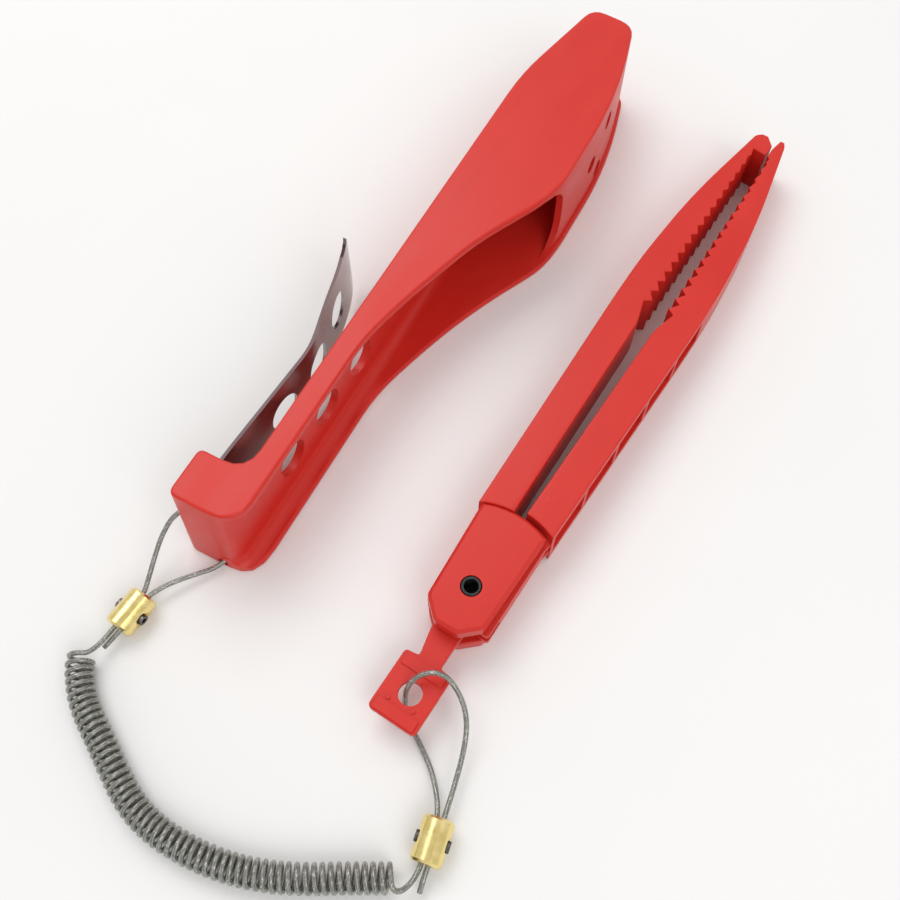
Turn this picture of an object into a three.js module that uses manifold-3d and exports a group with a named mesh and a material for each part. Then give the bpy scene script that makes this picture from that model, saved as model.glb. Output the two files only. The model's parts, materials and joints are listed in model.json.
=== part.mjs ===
// Fishing pliers with a belt holster and a coiled wire lanyard. Millimetres, +Z up.
// The pliers lie flat with their long axis along +Y. The holster lies beside them, on its broad side.

import * as THREE from 'three';
import { mergeVertices } from 'three/addons/utils/BufferGeometryUtils.js';
import Module from 'manifold-3d';

const wasm = await Module();
wasm.setup();

// ---- Driving dimensions: fits -------------------------------------------------------------
const GAP = 0.3; // clearance between faces that slide or rest on each other
const OVERRUN = 4; // how far a cutter runs past the face it cuts
const ROUND_STEPS = 4; // straight pieces in each rounded corner
const EDGE_STEPS = 3; // straight pieces across each rounded edge

// ---- Driving dimensions: holster, in its own frame ---------------------------------------
// X runs from the back wall to the open side, Y from the end block to the tip.
const HOLSTER_AT = [-24.1, -75.9];
const HOLSTER_TURN = THREE.MathUtils.degToRad(5.15);
const HOLSTER_HEIGHT = 32;
const PLATE = 2.2; // top and bottom plates
const WALL = 2.4; // upright walls
const FRONT_Y = -26;
const FRONT_DRAFT = 1.4; // the front face leans back by this at the top, and forward at the bottom
const FRONT_LEAN_DEPTH = 7; // how far behind the front face the lean dies out
const HOLSTER_EDGE = 0.7; // rounding of the plates' outer edges
const BLOCK_REACH = 14.2; // how far the end block stands out behind the back wall
const BLOCK_REAR_Y = -10;
const NARROW_WIDTH = 6.5; // top plate beside the trough
const NARROW_END_Y = 40;
const WIDE_WIDTH = 31.8; // across the pocket
const BOTTOM_STEP = 1.2; // how much further the bottom plate reaches on the open side
const TOP_CURVE = [[9.9, 55.5], [14, 70], [18.6, 85], [28.9, 106]]; // open side, from trough to pocket
const BOTTOM_CURVE = [[11.6, 55.5], [15.9, 70], [21.6, 85], [31.6, 106]];
const CURVE_ROUND = 12;
const POCKET_MOUTH_Y = 118; // where the pocket's right wall begins
const MOUTH_ROUND = 10;
const INNER_ROUND = 3.8; // rounding of the corner between the back wall and the bottom plate
const FRONT_CORNER = 5; // radius of the end block's upright corner, between the plates
const SHOULDER_Y = 147;
const TAPER_BEND = [29, 168]; // where the taper to the tip grows steeper
const TIP_Y = 190.4;
const TIP_X = [8, 23.6]; // both corners of the tip
const TIP_SLANT = 1.4; // how far the tip's right corner lies behind its left corner
const BACK_BEND_Y = 152;
const WALL_HOLE = 11.5;
const WALL_HOLES_Y = [4.7, 23.3, 41.9];
const WALL_HOLE_Z = 15;
const DRAIN_HOLE = 6;
const DRAIN_HOLES = [[141.5, 15.5], [149.5, 6.2], [154.5, 23]];

// ---- Driving dimensions: belt clip, in the holster's frame -------------------------------
const CLIP_THICKNESS = 1;
const CLIP_WIDTH = 24.4;
const CLIP_ROOT_X = -9;
const CLIP_ROOT_END_Y = -17.6;
const CLIP_NEAREST = [-6.6, 32]; // where the clip comes closest to the back wall
const CLIP_FLARE = [[-11, 47.5], [-13.6, 58.5], [-17, 68]];
const CLIP_TIP = [-21.6, 74.2];
const CLIP_TIP_ROUND = 12;
const CLIP_HOLE = 11.5;
const CLIP_HOLES_Y = [16, 34.5, 53];
const CLIP_FLEX_ROOM = 1.1; // free space behind the root, so that the clip can flex
const CLIP_SCREW_RADIUS = 1.5;
const CLIP_SCREW_HEAD_RADIUS = 2.2;
const CLIP_SCREW_HEAD_HEIGHT = 1.4;
const CLIP_SCREW_LENGTH = 5;
const CLIP_SCREW_ROOM = 0.8;
const CLIP_SCREW_Y = -14.8;
const CLIP_SCREWS_Z = [10, 22];

// ---- Driving dimensions: pliers, in their own frame --------------------------------------
// The pivot is at the origin, and the jaws point along +Y.
const PIVOT_AT = [39.5, -75.5];
const PLIERS_HEIGHT = 16;
const CHEEK = 4.6; // each of the two outer plates of the tail
const LEAF = 1.7; // each of the two inner plates, of the other arm
const CHEEK_CHAMFER = 0.9;
const ARM_EDGE = 0.4; // rounding of the arms' edges
const TAIL_END_Y = -12.8;
const TAIL_CORNER_Y = -7.8;
const TAIL_HALF_WIDTH = 9;
const TAIL_LEFT_X = -8.5;
const TAIL_WALL = 2; // the wall that joins the cheeks along the left edge
const SHOULDER_RADIUS = 24.2; // front edge of the cheeks, about the pivot
const SHOULDER_GAP = 1.4;
const ROOT_HALF_GAP = 1.6; // between the arms, beside the shoulder
const ARM_ROOT_X = 11.2;
const ARM_HALF_WIDTH = 13.3;
const WIDEST_Y = [104, 120];
const TIP_Y_LEFT = 186;
const TIP_Y_RIGHT = 186.3;
const TOOTH_COUNT = 17;
const TOOTH_PITCH = 4.35;
const TOOTH_HOOK = 1.4; // length, along the arm, of each tooth's steep flank
const FIRST_VALLEY_Y = 104.6;
const RAMP_START_Y = 97;
const RAMP_HALF_GAP = 2.75;
const TOOTH_HALF_GAP = 2.65;
const VALLEY_HALF_GAP = [4.9, 3.25]; // first and last
const RECESS_COUNT = 5;
const RECESS_LENGTH = 15.5;
const RECESS_PITCH = 17.2;
const RECESS_START_Y = 24.9;
const RECESS_DEPTH = 2.5;
const RECESS_RIM = 3; // plate left above and below each side recess
const LEAF_EYE = 6.5; // radius of the inner plates round the pin
const LEAF_EDGE_X = 10.4;
const LEAF_END_Y = -8;
const LEAF_WALL_X = 7.6; // inner face of the wall that joins the leaves
const LEAF_WALL_END_Y = -2;
const PIN_RADIUS = 2.65;
const PIN_BORE_RADIUS = 1.95;
const PIN_HEAD_RADIUS = 4.2;
const PIN_HEAD_HEIGHT = 1.1;
const SPRING_WIRE_RADIUS = 0.3;
const SPRING_RADIUS = 3.7;
const SPRING_TURNS = 1.75;
const SPRING_PITCH = 0.72;
const SPRING_RECESS_DEPTH = 2.2;
const SPRING_ROOM = 1.2;

// ---- Driving dimensions: lock strap ------------------------------------------------------
const LOCK_TRAVEL = 8;
const STRAP_HALF_WIDTH = 5;
const STRAP_FRONT_Y = 14;
const STRAP_WAIST_Y = -21;
const STRAP_EDGE = 0.3;
const TAB_X = [-6.3, 8.1];
const TAB_Y = [-39, -21.5];
const TAB_HOLE = [1.3, -30.5];
const TAB_HOLE_RADIUS = 3.2;
const TAB_BAND = 3.2; // width of the raised bands along both ends of the tab
const TAB_BAND_RISE = 0.5;
const TAB_PIPS = [[-3, -34.3], [4.4, -33.9]];
const TAB_PIP_RADIUS = 0.6;

// ---- Driving dimensions: lanyard ---------------------------------------------------------
const WIRE_RADIUS = 0.7;
const COIL_RADIUS = 3.85;
const TUNNEL_ROOM = 0.9; // free space round the wire in the end block
const WIRE_STEP = 4; // length of one straight piece of the wire's tube
const COIL_STEP = 8;
const CLAMP_RADIUS = 4.1;
const CLAMP_LENGTH = 11;
const CLAMP_CHAMFER = 0.6;
const SET_SCREW_RADIUS = 1.5;
const SET_SCREW_IN = 2.2; // inner and outer ends, from the clamp's axis
const SET_SCREW_OUT = 4.5;
const SOCKET_RADIUS = 0.85;
const SOCKET_DEPTH = 1.2;
const RELIEF_RADIUS = 2.3;
const RELIEF_DEPTH = 0.5;

// Routes of the wire, in the object's frame: cut end, clamp, loop, clamp again, start of the coil.
const HOLSTER_WIRE = [
  [-35.4, -139.4, 2.6], [-34.7, -136.3, 3.6], [-34.3, -133.7, 4.2], [-34.2, -128.1, 4.2],
  [-34.1, -122.6, 4.2], [-32.9, -118.5, 3.9], [-30.7, -114.1, 3.2], [-27.5, -109.2, 2.4],
  [-25.1, -105.5, 2.1], [-24.1, -102.2, 2.6], [-25.7, -98.7, 4.4], [-29.7, -96.1, 7.4],
  [-33.8, -95.9, 10.6], [-37.6, -97.8, 12.9], [-39.6, -102, 12.6], [-40, -107.1, 10.2],
  [-39.1, -112.6, 7.2], [-37.4, -118.1, 5], [-35.9, -122.6, 4.2], [-36, -128.1, 4.2],
  [-36.1, -133.6, 4.2], [-36.6, -137.3, 4.1], [-37.6, -141, 4], [-37.9, -143.3, 4],
];
const GRIP_WIRE = [
  [68.2, -142.9, 2.4], [67.4, -140, 3.6], [66.8, -137.2, 4.2], [65.5, -131.5, 4.2],
  [64.1, -125.9, 4.2], [61.8, -117.4, 3.6], [59.5, -110.1, 4.6], [57.1, -104.9, 6.6],
  [54.3, -101.6, 9.2], [50.7, -99.4, 11.6], [47, -98.4, 13.2], [43.8, -99.1, 13.6],
  [41.3, -101, 12.8], [39.8, -103.5, 11.2], [39.5, -105.7, 9], [40, -107.3, 6.4],
  [41.3, -109.2, 3.6], [43.9, -111.3, 1.9], [48.6, -113.9, 1.3], [54.5, -117.6, 1.6],
  [59.4, -122.2, 3.2], [62.3, -126.4, 4.2], [63.7, -132, 4.2], [65, -137.6, 4.2],
  [65, -141.6, 2.6], [64.4, -144, 1.9], [63.5, -144.6, 2.2], [62.3, -144.3, 3],
];
const COIL_ROUTE = [
  [-38.2, -144.2, 4], [-36.6, -146.8, 4], [-30.3, -152.4, 4], [-24.6, -155.5, 4],
  [-19.4, -157.8, 4], [-12.1, -161.2, 4], [-5.6, -164, 4], [0.2, -165.7, 4],
  [7.7, -166.4, 4], [14.1, -166, 4], [20.5, -165, 4], [28.8, -162.7, 4],
  [36.7, -159.3, 4], [44.2, -155, 4], [51.3, -150.2, 4], [61, -143.9, 4],
];
const HOLSTER_CLAMP = { centre: [-35.15, -128.1, 4.2], along: [-0.02, -1, 0] };
const GRIP_CLAMP = { centre: [64.6, -131.75, 4.2], along: [0.24, -1, 0] };

// ---- Materials ---------------------------------------------------------------------------
const redPlastic = () => new THREE.MeshStandardMaterial({ color: 0xd0342e, roughness: 0.35 });
const steel = () => new THREE.MeshStandardMaterial({ color: 0x9a908d, roughness: 0.16, metalness: 1 });
const blackSteel = () => new THREE.MeshStandardMaterial({ color: 0x15181a, roughness: 0.3, metalness: 0.8 });
const darkSteel = () => new THREE.MeshStandardMaterial({ color: 0x4c4a48, roughness: 0.35, metalness: 1 });
const brass = () => new THREE.MeshStandardMaterial({ color: 0xd9b44a, roughness: 0.2, metalness: 1 });
const coatedWire = () => new THREE.MeshStandardMaterial({ color: 0xa3a49c, roughness: 0.25, metalness: 0.6 });

// ---- Shape helpers -----------------------------------------------------------------------

// A closed outline with rounded corners. Each corner is [x, y, r]: the rounding starts r before
// the corner, or halfway along the shorter edge if r is longer than that.
function outline(corners) {
  const shape = new THREE.Shape();
  const count = corners.length;
  corners.forEach(([x, y, wanted = 0], index) => {
    const corner = new THREE.Vector2(x, y);
    const before = new THREE.Vector2(...corners[(index + count - 1) % count]);
    const after = new THREE.Vector2(...corners[(index + 1) % count]);
    const r = Math.min(wanted, corner.distanceTo(before) / 2, corner.distanceTo(after) / 2);
    const start = corner.clone().add(before.sub(corner).setLength(r));
    const end = corner.clone().add(after.sub(corner).setLength(r));
    if (index === 0) shape.moveTo(start.x, start.y);
    else shape.lineTo(start.x, start.y);
    if (r > 0) shape.quadraticCurveTo(x, y, end.x, end.y);
  });
  shape.closePath();
  return shape;
}

// A disc or the outline of a round bar.
function circle(radius, sides) {
  const shape = new THREE.Shape();
  const points = Array.from({ length: sides }, (_, k) => {
    const angle = (2 * Math.PI * k) / sides;
    return new THREE.Vector2(radius * Math.cos(angle), radius * Math.sin(angle));
  });
  return shape.setFromPoints(points);
}

// An upright prism on an outline.
function prism(shape, low, high) {
  const options = { depth: high - low, bevelEnabled: false, curveSegments: ROUND_STEPS };
  return new THREE.ExtrudeGeometry(shape, options).translate(0, 0, low);
}

// An upright prism whose top and bottom edges are chamfered.
function chamferedPrism(shape, low, high, chamfer) {
  const options = {
    depth: high - low - 2 * chamfer,
    bevelThickness: chamfer,
    bevelSize: chamfer,
    bevelOffset: -chamfer,
    bevelSegments: 1,
    curveSegments: ROUND_STEPS,
  };
  return new THREE.ExtrudeGeometry(shape, options).translate(0, 0, low + chamfer);
}

// An upright prism whose top and bottom edges are rounded.
function roundedPrism(shape, low, high, radius) {
  const options = {
    depth: high - low - 2 * radius,
    bevelThickness: radius,
    bevelSize: radius,
    bevelOffset: -radius,
    bevelSegments: EDGE_STEPS,
    curveSegments: ROUND_STEPS,
  };
  return new THREE.ExtrudeGeometry(shape, options).translate(0, 0, low + radius);
}

// A prism on an outline given in Y and Z, running along X.
function prismAlongX(shape, from, to) {
  const turn = new THREE.Matrix4().makeBasis(
    new THREE.Vector3(0, 1, 0),
    new THREE.Vector3(0, 0, 1),
    new THREE.Vector3(1, 0, 0),
  );
  return prism(shape, from, to).applyMatrix4(turn);
}

// A prism on an outline given in X and Z, running along Y.
function prismAlongY(shape, from, to) {
  const turn = new THREE.Matrix4().makeBasis(
    new THREE.Vector3(1, 0, 0),
    new THREE.Vector3(0, 0, 1),
    new THREE.Vector3(0, -1, 0),
  );
  return prism(shape, -to, -from).applyMatrix4(turn);
}

function box(low, high) {
  const [x, y, z] = high.map((value, axis) => value - low[axis]);
  const centre = high.map((value, axis) => (value + low[axis]) / 2);
  return new THREE.BoxGeometry(x, y, z).translate(...centre);
}

// A round bar along X.
function barAlongX(radius, from, to, y, z, sides = 24) {
  const bar = new THREE.CylinderGeometry(radius, radius, to - from, sides);
  return bar.rotateZ(Math.PI / 2).translate((from + to) / 2, y, z);
}

// An upright round bar.
function uprightBar(radius, low, high, x, y, sides = 32) {
  const bar = new THREE.CylinderGeometry(radius, radius, high - low, sides);
  return bar.rotateX(Math.PI / 2).translate(x, y, (low + high) / 2);
}

// A round tube or bar along a route of points.
function alongRoute(points, radius, step, sides) {
  const path = new THREE.CatmullRomCurve3(points.map((p) => new THREE.Vector3(...p)), false, 'centripetal');
  const steps = Math.ceil(path.getLength() / step);
  return new THREE.ExtrudeGeometry(circle(radius, sides), { steps, extrudePath: path });
}

function toSolid(geometry) {
  const bare = geometry.clone();
  bare.deleteAttribute('normal');
  bare.deleteAttribute('uv');
  const merged = mergeVertices(bare);
  const vertProperties = new Float32Array(merged.attributes.position.array);
  const triVerts = new Uint32Array(merged.index.array);
  return new wasm.Manifold(new wasm.Mesh({ numProp: 3, vertProperties, triVerts }));
}

function toGeometry(solid) {
  const { vertProperties, triVerts } = solid.getMesh();
  const geometry = new THREE.BufferGeometry();
  geometry.setAttribute('position', new THREE.BufferAttribute(vertProperties, 3));
  geometry.setIndex(new THREE.BufferAttribute(triVerts, 1));
  geometry.computeVertexNormals();
  return geometry;
}

const join = (...parts) => parts.map(toSolid).reduce((sum, part) => sum.add(part));
const cut = (solid, ...cutters) => cutters.map(toSolid).reduce((rest, cutter) => rest.subtract(cutter), solid);

const model = new THREE.Group();
const holster = new THREE.Group();
const pliers = new THREE.Group();
const lanyard = new THREE.Group();
holster.position.set(HOLSTER_AT[0], HOLSTER_AT[1], 0);
holster.rotation.z = HOLSTER_TURN;
pliers.position.set(PIVOT_AT[0], PIVOT_AT[1], 0);
model.add(holster, pliers, lanyard);
holster.updateMatrix();

function place(group, name, geometry, material) {
  const mesh = new THREE.Mesh(geometry, material);
  mesh.name = name;
  group.add(mesh);
}

// ---- Holster -----------------------------------------------------------------------------

// The plates' outline; the bottom plate's open side is further out.
const holsterOutline = (curve, step) => outline([
  [-BLOCK_REACH, FRONT_Y, 2.5],
  [NARROW_WIDTH + step, FRONT_Y, 9],
  [NARROW_WIDTH + step, NARROW_END_Y, CURVE_ROUND],
  ...curve.map(([x, y]) => [x, y, CURVE_ROUND]),
  [WIDE_WIDTH + step, POCKET_MOUTH_Y - 2, CURVE_ROUND],
  [WIDE_WIDTH + step, SHOULDER_Y, 10],
  [TAPER_BEND[0] + step, TAPER_BEND[1], 10],
  [TIP_X[1] + step, TIP_Y - TIP_SLANT, 5],
  [TIP_X[0], TIP_Y, 5],
  [0, BACK_BEND_Y, 10],
  [0, BLOCK_REAR_Y, 8],
  [-BLOCK_REACH, BLOCK_REAR_Y, 2],
]);

const bottomPlate = (high) => leanFront(roundedPrism(holsterOutline(BOTTOM_CURVE, BOTTOM_STEP), 0, high, HOLSTER_EDGE));

// Centre of the end block's upright rounded corner.
const CORNER_AT = [WALL - FRONT_CORNER, FRONT_Y - FRONT_DRAFT + FRONT_CORNER];

// A quarter turn, as steps + 1 angles.
const quarterTurn = (steps) => Array.from({ length: steps + 1 }, (_, k) => (Math.PI / 2) * (k / steps));

// The space inside the trough and the pocket. At the front it leaves the end block a rounded corner.
const holsterInside = () => outline([
  ...quarterTurn(6).map((angle) => [
    CORNER_AT[0] + FRONT_CORNER * Math.cos(angle),
    CORNER_AT[1] - FRONT_CORNER * Math.sin(angle),
  ]),
  [CORNER_AT[0], FRONT_Y - FRONT_DRAFT - OVERRUN],
  [2 * WIDE_WIDTH, FRONT_Y - FRONT_DRAFT - OVERRUN],
  [2 * WIDE_WIDTH, POCKET_MOUTH_Y - MOUTH_ROUND],
  [WIDE_WIDTH - WALL, POCKET_MOUTH_Y - MOUTH_ROUND],
  [WIDE_WIDTH - WALL, SHOULDER_Y, 8],
  [TAPER_BEND[0] - WALL, TAPER_BEND[1] - 1, 8],
  [TIP_X[1] - WALL, TIP_Y - TIP_SLANT - WALL, 4],
  [TIP_X[0] + WALL / 2, TIP_Y - WALL, 4],
  [WALL, BACK_BEND_Y, 10],
]);

// The rounded inner corner between the walls and the bottom plate, which turns with the end block's corner.
function innerFillet() {
  const arc = quarterTurn(5).map((angle) => [
    INNER_ROUND * (1 - Math.sin(angle)),
    PLATE + INNER_ROUND * (1 - Math.cos(angle)),
  ]);
  const alongWall = outline([
    [WALL / 2, PLATE / 2],
    [WALL + INNER_ROUND, PLATE / 2],
    ...arc.map(([x, z]) => [WALL + x, z]),
    [WALL / 2, PLATE + INNER_ROUND],
  ]);
  const profile = [[0, PLATE / 2], [INNER_ROUND + FRONT_CORNER, PLATE / 2]];
  const turned = [...profile, ...arc.map(([x, z]) => [x + FRONT_CORNER, z]), [0, PLATE + INNER_ROUND]];
  const disc = new THREE.LatheGeometry(turned.map((p) => new THREE.Vector2(...p)), 32);
  const corner = toSolid(disc.rotateX(Math.PI / 2).translate(...CORNER_AT, 0))
    .intersect(toSolid(box([CORNER_AT[0], FRONT_Y - OVERRUN, 0], [2 * WIDE_WIDTH, CORNER_AT[1], HOLSTER_HEIGHT])))
    .intersect(toSolid(bottomPlate(HOLSTER_HEIGHT)));
  return corner.add(toSolid(prismAlongY(alongWall, CORNER_AT[1], BACK_BEND_Y - INNER_ROUND)));
}

// The open side ends in a rounded notch in the pocket's right wall.
const sideOpening = () => prismAlongX(outline([
  [FRONT_Y + 3 * WALL, PLATE],
  [POCKET_MOUTH_Y, PLATE, MOUTH_ROUND],
  [POCKET_MOUTH_Y, HOLSTER_HEIGHT - PLATE, MOUTH_ROUND],
  [FRONT_Y + 3 * WALL, HOLSTER_HEIGHT - PLATE],
]), WALL, 2 * WIDE_WIDTH);

// The front face leans: its bottom edge stands further forward than its top edge.
function leanFront(geometry) {
  const { position } = geometry.attributes;
  for (let index = 0; index < position.count; index += 1) {
    const y = position.getY(index);
    const height = (2 * position.getZ(index)) / HOLSTER_HEIGHT - 1;
    const share = THREE.MathUtils.smoothstep(BLOCK_REAR_Y - FRONT_LEAN_DEPTH - y, 0, FRONT_LEAN_DEPTH);
    position.setY(index, y + FRONT_DRAFT * height * share);
  }
  return geometry;
}

// The hollow of the end block is open to the back, where the clip's root is fastened.
const blockHollow = () => box(
  [-BLOCK_REACH - OVERRUN, FRONT_Y + FRONT_DRAFT + PLATE, PLATE],
  [CLIP_ROOT_X + CLIP_THICKNESS / 2 + GAP, BLOCK_REAR_Y - WALL, HOLSTER_HEIGHT - PLATE],
);

const CLIP_LOW = (HOLSTER_HEIGHT - CLIP_WIDTH) / 2;
const CLIP_HIGH = CLIP_LOW + CLIP_WIDTH;
const CLIP_BEND = 5; // rounding of each bend in the strip

const clipSlot = () => box(
  [CLIP_ROOT_X - CLIP_THICKNESS / 2 - GAP - CLIP_FLEX_ROOM, BLOCK_REAR_Y - WALL - OVERRUN / 2, CLIP_LOW - GAP],
  [CLIP_ROOT_X + CLIP_THICKNESS / 2 + GAP, BLOCK_REAR_Y + OVERRUN, CLIP_HIGH + GAP],
);

const clipScrewHole = (z) => barAlongX(
  CLIP_SCREW_RADIUS + CLIP_SCREW_ROOM,
  CLIP_ROOT_X,
  CLIP_ROOT_X + CLIP_SCREW_LENGTH + CLIP_SCREW_ROOM,
  CLIP_SCREW_Y,
  z,
);

// The lanyard's tunnel follows the wire through the end block.
function lanyardTunnel() {
  const toHolster = holster.matrix.clone().invert();
  const insideBlock = HOLSTER_WIRE.slice(7, 14).map((p) => new THREE.Vector3(...p).applyMatrix4(toHolster).toArray());
  return alongRoute(insideBlock, WIRE_RADIUS + TUNNEL_ROOM, WIRE_STEP / 2, 12);
}

function holsterBody() {
  const body = join(
    leanFront(roundedPrism(holsterOutline(TOP_CURVE, 0), 0, HOLSTER_HEIGHT, HOLSTER_EDGE)),
    bottomPlate(PLATE),
  );
  const wallHole = (y) => barAlongX(WALL_HOLE / 2, -OVERRUN, WALL + OVERRUN, y, WALL_HOLE_Z, 32);
  const drainHole = ([y, z]) => barAlongX(DRAIN_HOLE / 2, WIDE_WIDTH - 2 * OVERRUN, WIDE_WIDTH + OVERRUN, y, z);
  const hollow = cut(body, prism(holsterInside(), PLATE, HOLSTER_HEIGHT - PLATE), sideOpening());
  return toGeometry(cut(
    hollow.add(innerFillet()),
    blockHollow(),
    clipSlot(),
    lanyardTunnel(),
    ...CLIP_SCREWS_Z.map(clipScrewHole),
    ...WALL_HOLES_Y.map(wallHole),
    ...DRAIN_HOLES.map(drainHole),
  ));
}

// ---- Belt clip ---------------------------------------------------------------------------

// The strip follows a bent line; each face of it is half a thickness away from that line.
function clipStrip() {
  const line = [[CLIP_ROOT_X, CLIP_ROOT_END_Y], [CLIP_ROOT_X, BLOCK_REAR_Y + 2], CLIP_NEAREST, ...CLIP_FLARE, CLIP_TIP];
  const last = line.length - 1;
  const face = (sign) => line.map(([x, y], index) => {
    const before = new THREE.Vector2(...line[Math.max(index - 1, 0)]);
    const along = new THREE.Vector2(...line[Math.min(index + 1, last)]).sub(before).setLength(CLIP_THICKNESS / 2);
    const round = index === 0 || index === last ? 0 : CLIP_BEND;
    return [x - sign * along.y, y + sign * along.x, round];
  });
  return prism(outline([...face(1), ...face(-1).reverse()]), CLIP_LOW, CLIP_HIGH);
}

function beltClip() {
  const front = prismAlongX(outline([
    [CLIP_ROOT_END_Y - OVERRUN, CLIP_LOW],
    [CLIP_TIP[1], CLIP_LOW, CLIP_TIP_ROUND],
    [CLIP_TIP[1], CLIP_HIGH, CLIP_TIP_ROUND],
    [CLIP_ROOT_END_Y - OVERRUN, CLIP_HIGH],
  ]), CLIP_TIP[0] - OVERRUN, 0);
  const hole = (y) => barAlongX(CLIP_HOLE / 2, CLIP_TIP[0] - OVERRUN, 0, y, HOLSTER_HEIGHT / 2, 32);
  const screwHole = (z) => barAlongX(CLIP_SCREW_RADIUS + GAP, CLIP_ROOT_X - OVERRUN, 0, CLIP_SCREW_Y, z);
  const strip = toSolid(clipStrip()).intersect(toSolid(front));
  return toGeometry(cut(strip, ...CLIP_HOLES_Y.map(hole), ...CLIP_SCREWS_Z.map(screwHole)));
}

function clipScrew(z) {
  const headFace = CLIP_ROOT_X - CLIP_THICKNESS / 2 - GAP;
  const headEnd = headFace - CLIP_SCREW_HEAD_HEIGHT;
  const screw = join(
    barAlongX(CLIP_SCREW_HEAD_RADIUS, headEnd, headFace, CLIP_SCREW_Y, z),
    barAlongX(CLIP_SCREW_RADIUS, headFace - GAP, CLIP_ROOT_X + CLIP_SCREW_LENGTH, CLIP_SCREW_Y, z),
  );
  const slot = (halfY, halfZ) => box(
    [headEnd - OVERRUN, CLIP_SCREW_Y - halfY, z - halfZ],
    [headEnd + CLIP_SCREW_HEAD_HEIGHT / 2, CLIP_SCREW_Y + halfY, z + halfZ],
  );
  const long = CLIP_SCREW_HEAD_RADIUS * 0.6;
  const short = CLIP_SCREW_HEAD_RADIUS * 0.14;
  return toGeometry(cut(screw, slot(short, long), slot(long, short)));
}

// ---- Pliers ------------------------------------------------------------------------------

// Heights of the layers in the tail, from the bottom: cheek, leaf, strap, leaf, cheek.
const LEAF_LOW = CHEEK + GAP;
const STRAP_LOW = LEAF_LOW + LEAF + GAP;
const STRAP_HIGH = PLIERS_HEIGHT - STRAP_LOW;
const LEAF_HIGH = PLIERS_HEIGHT - LEAF_LOW;

// Corners along an arc about the pivot, from one x to another, on the jaws' side.
function shoulderArc(radius, fromX, toX) {
  const steps = 6;
  return Array.from({ length: steps + 1 }, (_, k) => {
    const x = THREE.MathUtils.lerp(fromX, toX, k / steps);
    return [x, Math.sqrt(radius * radius - x * x)];
  });
}

// Outer edge of the right arm, from root to tip.
const outerEdge = () => [
  [ARM_HALF_WIDTH, WIDEST_Y[0], 30],
  [ARM_HALF_WIDTH, WIDEST_Y[1], 12],
  [11.7, 144, 12],
  [9.9, 158, 12],
  [5.2, 184.6, 1.5],
];

// Toothed inner edge of the right arm, from the last valley down to the root.
// Each tooth's hook points back to the pivot.
function innerEdge() {
  const corners = [];
  for (let k = TOOTH_COUNT - 1; k >= 0; k -= 1) {
    const valley = FIRST_VALLEY_Y + k * TOOTH_PITCH;
    corners.push([TOOTH_HALF_GAP, valley + TOOTH_HOOK]);
    corners.push([THREE.MathUtils.lerp(...VALLEY_HALF_GAP, k / TOOTH_COUNT), valley]);
  }
  return [...corners, [RAMP_HALF_GAP, RAMP_START_Y, 2]];
}

const mirrored = (corners) => corners.map(([x, y, r]) => [-x, y, r]);

function rightArmOutline() {
  return outline([
    ...shoulderArc(SHOULDER_RADIUS + SHOULDER_GAP, ROOT_HALF_GAP, ARM_ROOT_X),
    ...outerEdge(),
    [4.3, TIP_Y_RIGHT],
    [2.9, TIP_Y_RIGHT],
    [2, 181.5],
    [2, 178],
    [3.1, 176.8],
    ...innerEdge(),
  ]);
}

function leftArmOutline() {
  return outline([
    ...mirrored([...shoulderArc(SHOULDER_RADIUS, ROOT_HALF_GAP, ARM_ROOT_X), ...outerEdge()]),
    [-3.4, TIP_Y_LEFT],
    [-1.4, TIP_Y_LEFT],
    [1.4, 182.8],
    [1.25, 177.9],
    [-VALLEY_HALF_GAP[1], FIRST_VALLEY_Y + TOOTH_COUNT * TOOTH_PITCH],
    ...mirrored(innerEdge()),
  ]);
}

// Outline of the two outer plates, which belong to the left arm.
const cheekOutline = () => outline([
  [-3.2, TAIL_END_Y, 1],
  [3.6, TAIL_END_Y, 1],
  [TAIL_HALF_WIDTH, TAIL_CORNER_Y, 1],
  ...shoulderArc(SHOULDER_RADIUS, TAIL_HALF_WIDTH + 0.6, -ARM_ROOT_X + CHEEK_CHAMFER),
  [TAIL_LEFT_X, TAIL_CORNER_Y, 1],
]);

function recesses(side) {
  const floor = (y) => THREE.MathUtils.mapLinear(y, RECESS_START_Y, WIDEST_Y[0], ARM_ROOT_X, ARM_HALF_WIDTH) - RECESS_DEPTH;
  return Array.from({ length: RECESS_COUNT }, (_, k) => {
    const start = RECESS_START_Y + k * RECESS_PITCH;
    const end = start + RECESS_LENGTH;
    const far = ARM_HALF_WIDTH + OVERRUN;
    const corners = [[floor(start), start], [far, start], [far, end], [floor(end), end]];
    return prism(outline(side < 0 ? mirrored(corners) : corners), RECESS_RIM, PLIERS_HEIGHT - RECESS_RIM);
  });
}

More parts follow.
